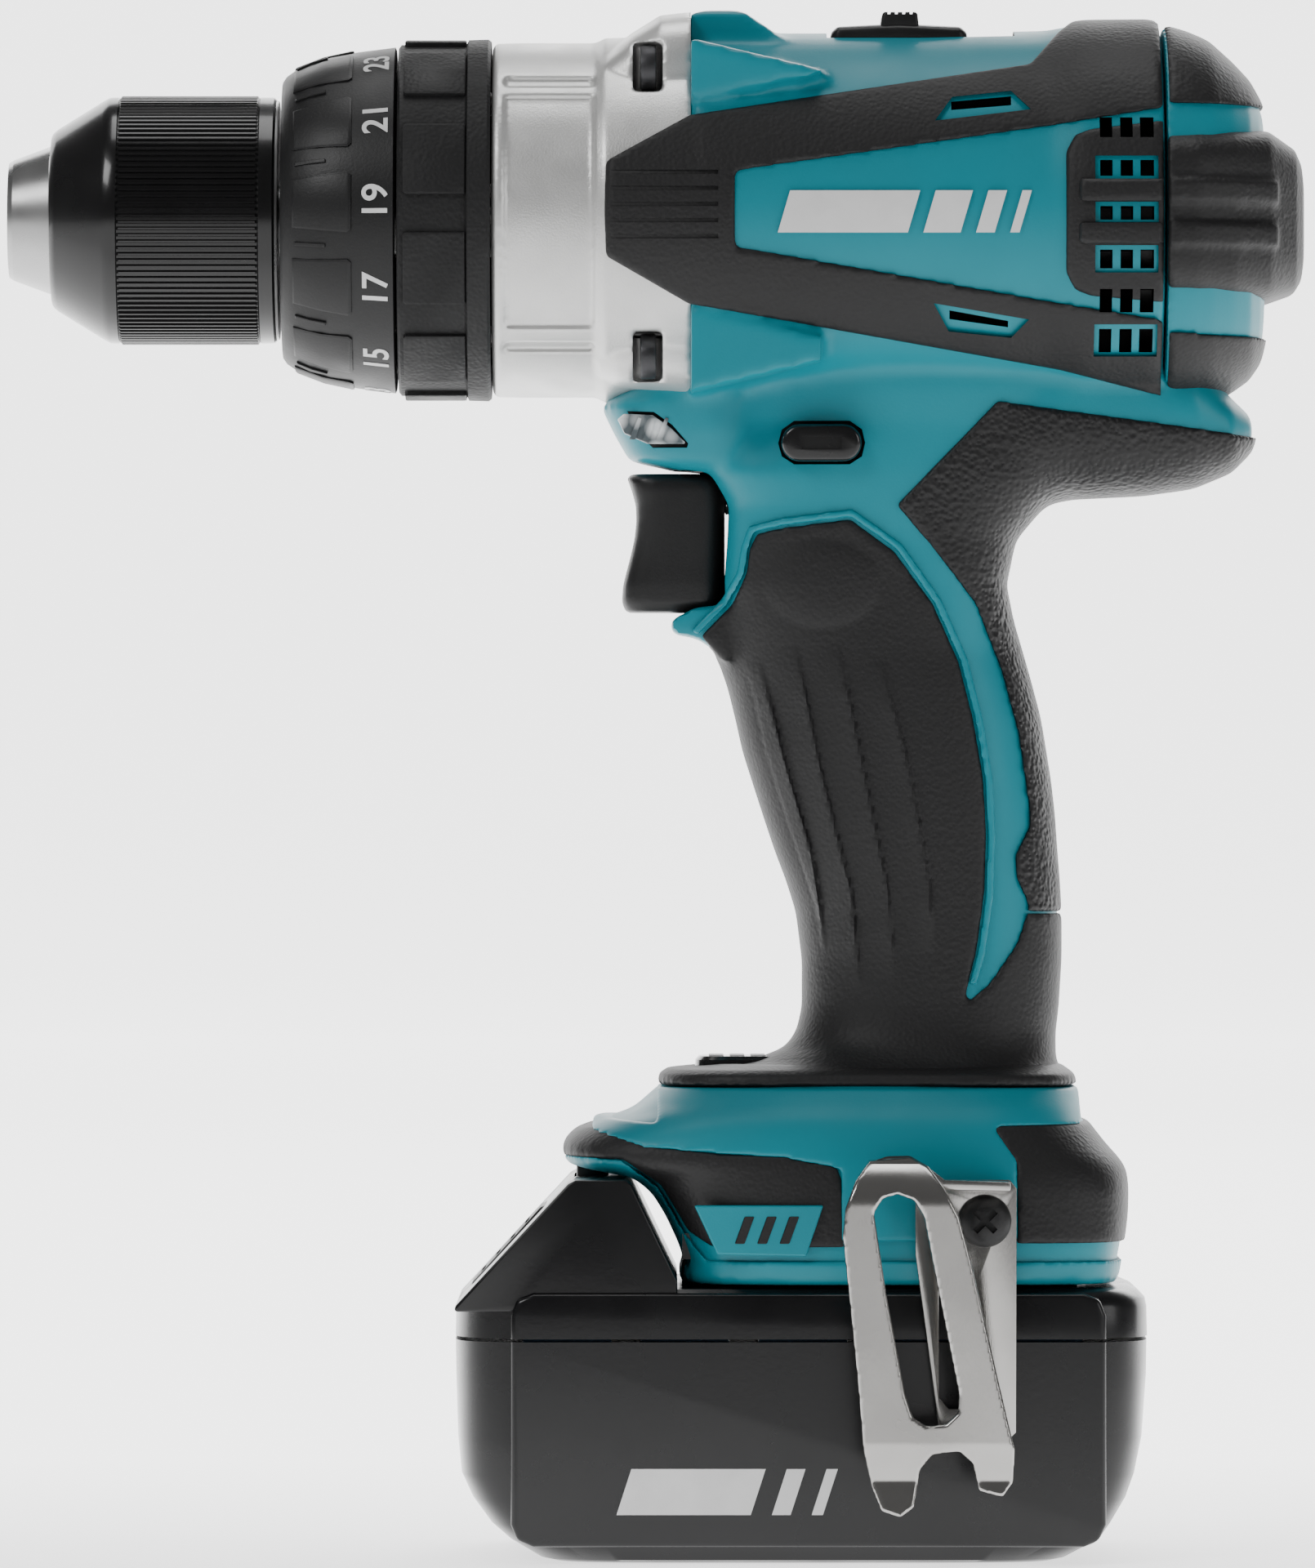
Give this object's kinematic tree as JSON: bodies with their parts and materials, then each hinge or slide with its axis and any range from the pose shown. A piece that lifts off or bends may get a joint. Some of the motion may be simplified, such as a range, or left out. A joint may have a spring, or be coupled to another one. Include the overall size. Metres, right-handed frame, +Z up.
{
  "type": "cordless drill driver",
  "caption": "Pistol-grip cordless drill with a keyless three-jaw chuck, torque and mode rings, planetary gearbox, trigger, belt clip and slide-on battery.",
  "frame": {"origin": "middle of the battery's base, on the plane that the drill stands on", "axes": "+Z up, -X from the battery's middle towards the chuck along the spindle, Y across with the belt clip on the -Y side"},
  "size_m": [0.2115, 0.0899, 0.252],
  "materials": {
    "teal_plastic": "fine-grained moulded plastic",
    "grip_rubber": "soft moulded rubber with a fine pebble grain",
    "silver_casting": "satin painted casting",
    "black_gloss": "polished",
    "black_plastic": "satin",
    "steel": "turned",
    "dark_steel": "blackened",
    "clip_steel": "nickel plated",
    "brass": "bare",
    "copper": "enamelled windings on steel laminations",
    "magnet": "sintered",
    "lamp": "clear",
    "cell": "sleeved",
    "battery_black": "gloss with a fine grain",
    "board": "lacquered board",
    "trigger_black": "satin"
  },
  "bodies": {
    "housing": {"housing_left": "teal_plastic", "housing_right": "teal_plastic", "grip_rubber_left": "grip_rubber", "grip_rubber_right": "grip_rubber", "rear_cover": "teal_plastic", "housing_screws": "dark_steel", "gear_housing": "silver_casting", "gear_housing_screws": "dark_steel", "ring_gear_1": "steel", "ring_gear_3": "steel", "motor_can": "steel", "motor_magnets": "magnet", "brush_holder": "black_plastic", "carbon_brushes": "magnet", "motor_bearings": "steel", "spindle_bearings": "steel", "switch_body": "black_plastic", "terminal_block": "black_plastic", "led_lens": "lamp", "belt_clip": "clip_steel", "belt_clip_screw": "dark_steel", "indicator_panel": "black_gloss", "clutch_spring": "steel", "clutch_plate": "steel", "trigger_spring": "steel"},
    "trigger": {"trigger": "trigger_black"},
    "direction_lever": {"direction_lever": "black_gloss"},
    "speed_selector": {"speed_selector": "black_plastic", "ring_gear_2": "steel"},
    "torque_ring": {"adjusting_ring": "black_plastic"},
    "mode_ring": {"mode_ring": "black_plastic"},
    "spindle": {"spindle": "steel", "chuck_body": "steel", "chuck_screw": "dark_steel"},
    "chuck_sleeve": {"chuck_sleeve": "black_gloss", "jaw_nut": "brass"},
    "jaw_1": {"chuck_jaw_1": "dark_steel"},
    "jaw_2": {"chuck_jaw_2": "dark_steel"},
    "jaw_3": {"chuck_jaw_3": "dark_steel"},
    "rotor": {"rotor_shaft": "steel", "rotor_core": "copper", "commutator": "brass", "cooling_fan": "black_plastic"},
    "carrier_1": {"carrier_1": "steel"},
    "carrier_2": {"carrier_2": "steel"},
    "planet_1a": {"planet_1a": "steel"},
    "planet_1b": {"planet_1b": "steel"},
    "planet_1c": {"planet_1c": "steel"},
    "planet_2a": {"planet_2a": "steel"},
    "planet_2b": {"planet_2b": "steel"},
    "planet_2c": {"planet_2c": "steel"},
    "planet_3a": {"planet_3a": "steel"},
    "planet_3b": {"planet_3b": "steel"},
    "planet_3c": {"planet_3c": "steel"},
    "battery": {"battery_case_lower": "battery_black", "battery_case_upper": "battery_black", "battery_cells": "cell", "battery_board": "board", "latch_spring": "steel"},
    "battery_latch": {"battery_latch": "black_plastic"}
  },
  "joints": [
    {"name": "spindle_spin", "type": "hinge", "parent": "housing", "child": "spindle", "pos_m": [0, 0, 0.2178], "axis": [1, 0, 0], "continuous": true},
    {"name": "rotor_spin", "type": "hinge", "parent": "housing", "child": "rotor", "pos_m": [0, 0, 0.2178], "axis": [1, 0, 0], "continuous": true},
    {"name": "carrier_1_spin", "type": "hinge", "parent": "housing", "child": "carrier_1", "pos_m": [0, 0, 0.2178], "axis": [1, 0, 0], "continuous": true},
    {"name": "carrier_2_spin", "type": "hinge", "parent": "housing", "child": "carrier_2", "pos_m": [0, 0, 0.2178], "axis": [1, 0, 0], "continuous": true},
    {"name": "planet_1a_spin", "type": "hinge", "parent": "carrier_1", "child": "planet_1a", "pos_m": [0, 0, 0.2058], "axis": [1, 0, 0], "continuous": true},
    {"name": "planet_1b_spin", "type": "hinge", "parent": "carrier_1", "child": "planet_1b", "pos_m": [0, 0.01039, 0.2238], "axis": [1, 0, 0], "continuous": true},
    {"name": "planet_1c_spin", "type": "hinge", "parent": "carrier_1", "child": "planet_1c", "pos_m": [0, -0.01039, 0.2238], "axis": [1, 0, 0], "continuous": true},
    {"name": "planet_2a_spin", "type": "hinge", "parent": "carrier_2", "child": "planet_2a", "pos_m": [0, 0, 0.2046], "axis": [1, 0, 0], "continuous": true},
    {"name": "planet_2b_spin", "type": "hinge", "parent": "carrier_2", "child": "planet_2b", "pos_m": [0, 0.01143, 0.2244], "axis": [1, 0, 0], "continuous": true},
    {"name": "planet_2c_spin", "type": "hinge", "parent": "carrier_2", "child": "planet_2c", "pos_m": [0, -0.01143, 0.2244], "axis": [1, 0, 0], "continuous": true},
    {"name": "planet_3a_spin", "type": "hinge", "parent": "spindle", "child": "planet_3a", "pos_m": [0, 0, 0.2046], "axis": [1, 0, 0], "continuous": true},
    {"name": "planet_3b_spin", "type": "hinge", "parent": "spindle", "child": "planet_3b", "pos_m": [0, 0.01143, 0.2244], "axis": [1, 0, 0], "continuous": true},
    {"name": "planet_3c_spin", "type": "hinge", "parent": "spindle", "child": "planet_3c", "pos_m": [0, -0.01143, 0.2244], "axis": [1, 0, 0], "continuous": true},
    {"name": "chuck_sleeve_turn", "type": "hinge", "parent": "spindle", "child": "chuck_sleeve", "pos_m": [0, 0, 0.2178], "axis": [-1, 0, 0], "range_deg": [0, 5040]},
    {"name": "jaw_1_slide", "type": "slide", "parent": "spindle", "child": "jaw_1", "axis": [-0.9563, 0, 0.2924], "range_m": [0, 0.0223]},
    {"name": "jaw_2_slide", "type": "slide", "parent": "spindle", "child": "jaw_2", "axis": [-0.9563, -0.2532, -0.1462], "range_m": [0, 0.0223]},
    {"name": "jaw_3_slide", "type": "slide", "parent": "spindle", "child": "jaw_3", "axis": [-0.9563, 0.2532, -0.1462], "range_m": [0, 0.0223]},
    {"name": "trigger_pull", "type": "slide", "parent": "housing", "child": "trigger", "axis": [1, 0, 0], "range_m": [0, 0.007], "stiffness_N_per_m": 600, "springref_m": -0.008, "deforming": ["trigger_spring"]},
    {"name": "direction_lever_push", "type": "slide", "parent": "housing", "child": "direction_lever", "axis": [0, 1, 0], "range_m": [-0.0035, 0.0035]},
    {"name": "speed_shift", "type": "slide", "parent": "housing", "child": "speed_selector", "axis": [1, 0, 0], "range_m": [0, 0.007]},
    {"name": "torque_ring_turn", "type": "hinge", "parent": "housing", "child": "torque_ring", "pos_m": [0, 0, 0.2178], "axis": [-1, 0, 0], "range_deg": [0, 345]},
    {"name": "mode_ring_turn", "type": "hinge", "parent": "housing", "child": "mode_ring", "pos_m": [0, 0, 0.2178], "axis": [-1, 0, 0], "range_deg": [0, 40]},
    {"name": "battery_slide", "type": "slide", "parent": "housing", "child": "battery", "axis": [-1, 0, 0], "range_m": [0, 0.12]},
    {"name": "latch_press", "type": "slide", "parent": "battery", "child": "battery_latch", "axis": [0, 0, -1], "range_m": [0, 0.004], "stiffness_N_per_m": 900, "springref_m": -0.004, "deforming": ["latch_spring"]}
  ],
  "couplings": [
    {"joint": "carrier_2_spin", "follows": "spindle_spin", "ratio": 3.6667},
    {"joint": "carrier_1_spin", "follows": "spindle_spin", "ratio": 13.444},
    {"joint": "rotor_spin", "follows": "spindle_spin", "ratio": 67.222},
    {"joint": "planet_1a_spin", "follows": "spindle_spin", "ratio": -35.852},
    {"joint": "planet_1b_spin", "follows": "spindle_spin", "ratio": -35.852},
    {"joint": "planet_1c_spin", "follows": "spindle_spin", "ratio": -35.852},
    {"joint": "planet_2a_spin", "follows": "spindle_spin", "ratio": -11.733},
    {"joint": "planet_2b_spin", "follows": "spindle_spin", "ratio": -11.733},
    {"joint": "planet_2c_spin", "follows": "spindle_spin", "ratio": -11.733},
    {"joint": "planet_3a_spin", "follows": "spindle_spin", "ratio": -3.2},
    {"joint": "planet_3b_spin", "follows": "spindle_spin", "ratio": -3.2},
    {"joint": "planet_3c_spin", "follows": "spindle_spin", "ratio": -3.2},
    {"joint": "jaw_1_slide", "follows": "chuck_sleeve_turn", "m_per_rad": 0.00025349},
    {"joint": "jaw_2_slide", "follows": "chuck_sleeve_turn", "m_per_rad": 0.00025349},
    {"joint": "jaw_3_slide", "follows": "chuck_sleeve_turn", "m_per_rad": 0.00025349}
  ]
}
